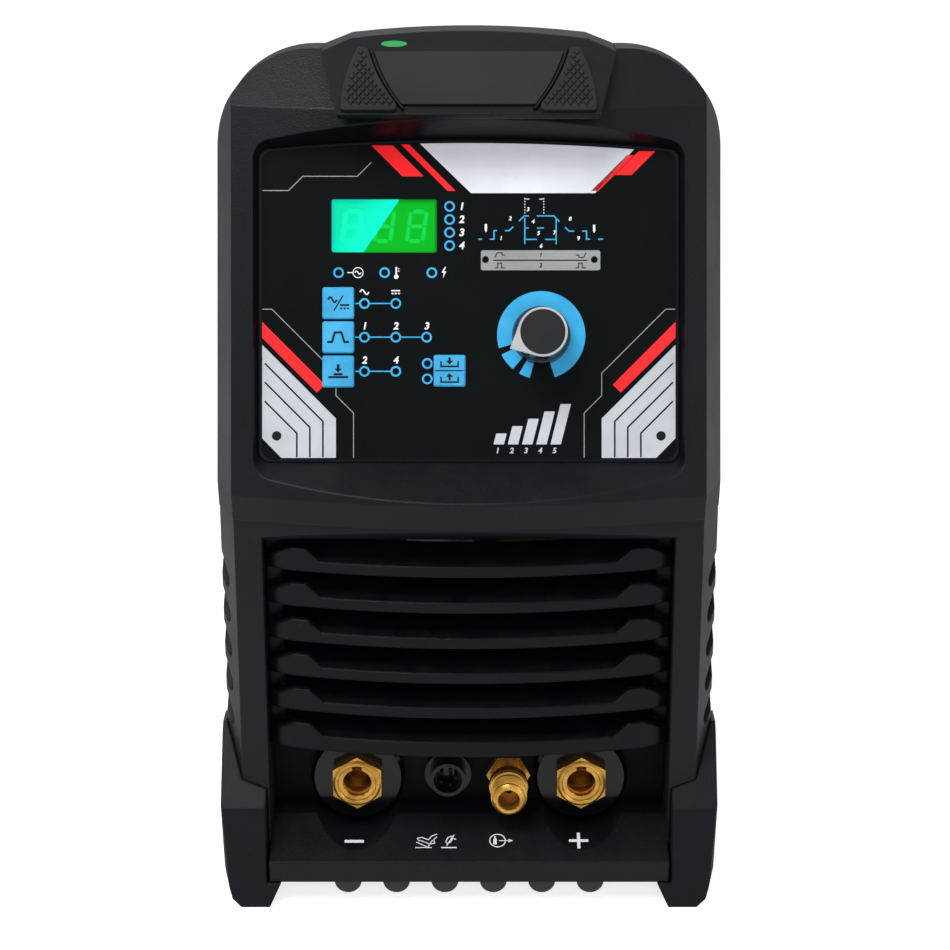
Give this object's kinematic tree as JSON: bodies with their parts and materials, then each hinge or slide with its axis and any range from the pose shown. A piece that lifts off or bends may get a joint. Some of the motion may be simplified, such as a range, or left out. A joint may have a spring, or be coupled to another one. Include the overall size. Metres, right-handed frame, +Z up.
{
  "type": "inverter tig welding machine",
  "caption": "Portable inverter TIG welder with a leaning control panel, a barred front grille, recessed current and gas sockets, corner bumpers and a carrying handle.",
  "frame": {"origin": "bottom centre of the box, on the surface the feet stand on", "axes": "+Z up, the control panel faces -Y, +X to the right seen from the front"},
  "size_m": [0.22, 0.4464, 0.3735],
  "materials": {
    "shell": "textured black moulded plastic",
    "shell_low": "textured blue-black moulded plastic",
    "overlay": "black satin printed film",
    "key": "light blue moulded key",
    "display": "green translucent filter",
    "digit": "unlit light green segments",
    "lens": "dark clear LED lens",
    "knob": "blue-black moulded knob",
    "knob_ring": "light grey ring and pointer",
    "rubber": "black rubber",
    "badge": "black satin plate",
    "cover": "black powder coat",
    "pan": "black powder coat",
    "brass": "machined brass",
    "steel": "zinc plated steel",
    "black_gloss": "glossy black thermoset",
    "board": "green circuit board",
    "aluminium": "extruded aluminium",
    "copper": "tinned copper",
    "ferrite": "ferrite",
    "winding": "yellow tape over winding",
    "capacitor": "blue-black sleeve",
    "hose": "black hose",
    "chip": "black epoxy",
    "fan": "black moulded plastic"
  },
  "bodies": {
    "chassis": {"front_bezel": "shell", "front_grille": "shell_low", "connector_plate": "shell_low", "panel_carrier": "shell", "control_overlay": "overlay", "display_window": "display", "display_module": "chip", "led_digits": "digit", "control_board": "board", "board_pillars": "steel", "indicator_leds": "lens", "key_switches": "chip", "encoder_body": "chip", "encoder_nut": "steel", "socket_shells": "black_gloss", "socket_inserts": "brass", "control_socket": "black_gloss", "control_pins": "brass", "gas_outlet": "brass", "rear_bezel": "shell", "fan_frame": "fan", "fan_guard": "steel", "switch_body": "black_gloss", "cable_gland": "black_gloss", "panel_nuts": "black_gloss", "gas_inlet": "brass", "earth_stud": "brass", "sheet_cover": "cover", "base_pan": "pan", "cover_screws": "steel", "front_foot_left": "shell_low", "front_foot_right": "shell_low", "rear_foot_left": "shell_low", "rear_foot_right": "shell_low", "handle": "shell", "handle_grip": "rubber", "badge_plate": "badge", "grip_pads": "rubber", "heatsinks": "aluminium", "stack_spacers": "chip", "power_transistors": "chip", "power_board": "board", "main_capacitors": "capacitor", "transformer_core": "ferrite", "transformer_winding": "winding", "output_choke": "copper", "output_leads": "copper", "solenoid_valve": "brass", "gas_hose": "hose"},
    "encoder": {"encoder_rotor": "steel"},
    "knob": {"encoder_shaft": "steel", "knob_body": "knob", "knob_ring": "knob_ring", "knob_cap": "rubber"},
    "ac_dc_key": {"key_ac_dc": "key"},
    "mode_key": {"key_mode": "key"},
    "trigger_key": {"key_trigger": "key"},
    "memory_key": {"key_memory": "key"},
    "fan": {"fan_rotor": "fan"},
    "rocker": {"switch_rocker": "black_gloss"}
  },
  "joints": [
    {"name": "knob_turn", "type": "hinge", "parent": "chassis", "child": "encoder", "pos_m": [0.0305, -0.18531, 0.25132], "axis": [0, -0.9511, 0.309], "continuous": true},
    {"name": "knob_press", "type": "slide", "parent": "encoder", "child": "knob", "axis": [0, 0.9511, -0.309], "range_m": [0, 0.0005], "stiffness_N_per_m": 600, "springref_m": -0.003},
    {"name": "ac_dc_press", "type": "slide", "parent": "chassis", "child": "ac_dc_key", "axis": [0, 0.9511, -0.309], "range_m": [0, 0.0008], "stiffness_N_per_m": 500, "springref_m": -0.003},
    {"name": "mode_press", "type": "slide", "parent": "chassis", "child": "mode_key", "axis": [0, 0.9511, -0.309], "range_m": [0, 0.0008], "stiffness_N_per_m": 500, "springref_m": -0.003},
    {"name": "trigger_press", "type": "slide", "parent": "chassis", "child": "trigger_key", "axis": [0, 0.9511, -0.309], "range_m": [0, 0.0008], "stiffness_N_per_m": 500, "springref_m": -0.003},
    {"name": "memory_press", "type": "slide", "parent": "chassis", "child": "memory_key", "axis": [0, 0.9511, -0.309], "range_m": [0, 0.0008], "stiffness_N_per_m": 500, "springref_m": -0.003},
    {"name": "fan_spin", "type": "hinge", "parent": "chassis", "child": "fan", "pos_m": [0, 0.1795, 0.098], "axis": [0, 1, 0], "continuous": true},
    {"name": "power_rocker", "type": "hinge", "parent": "chassis", "child": "rocker", "pos_m": [-0.052, 0.193, 0.236], "axis": [1, 0, 0], "range_deg": [0, 24]}
  ]
}
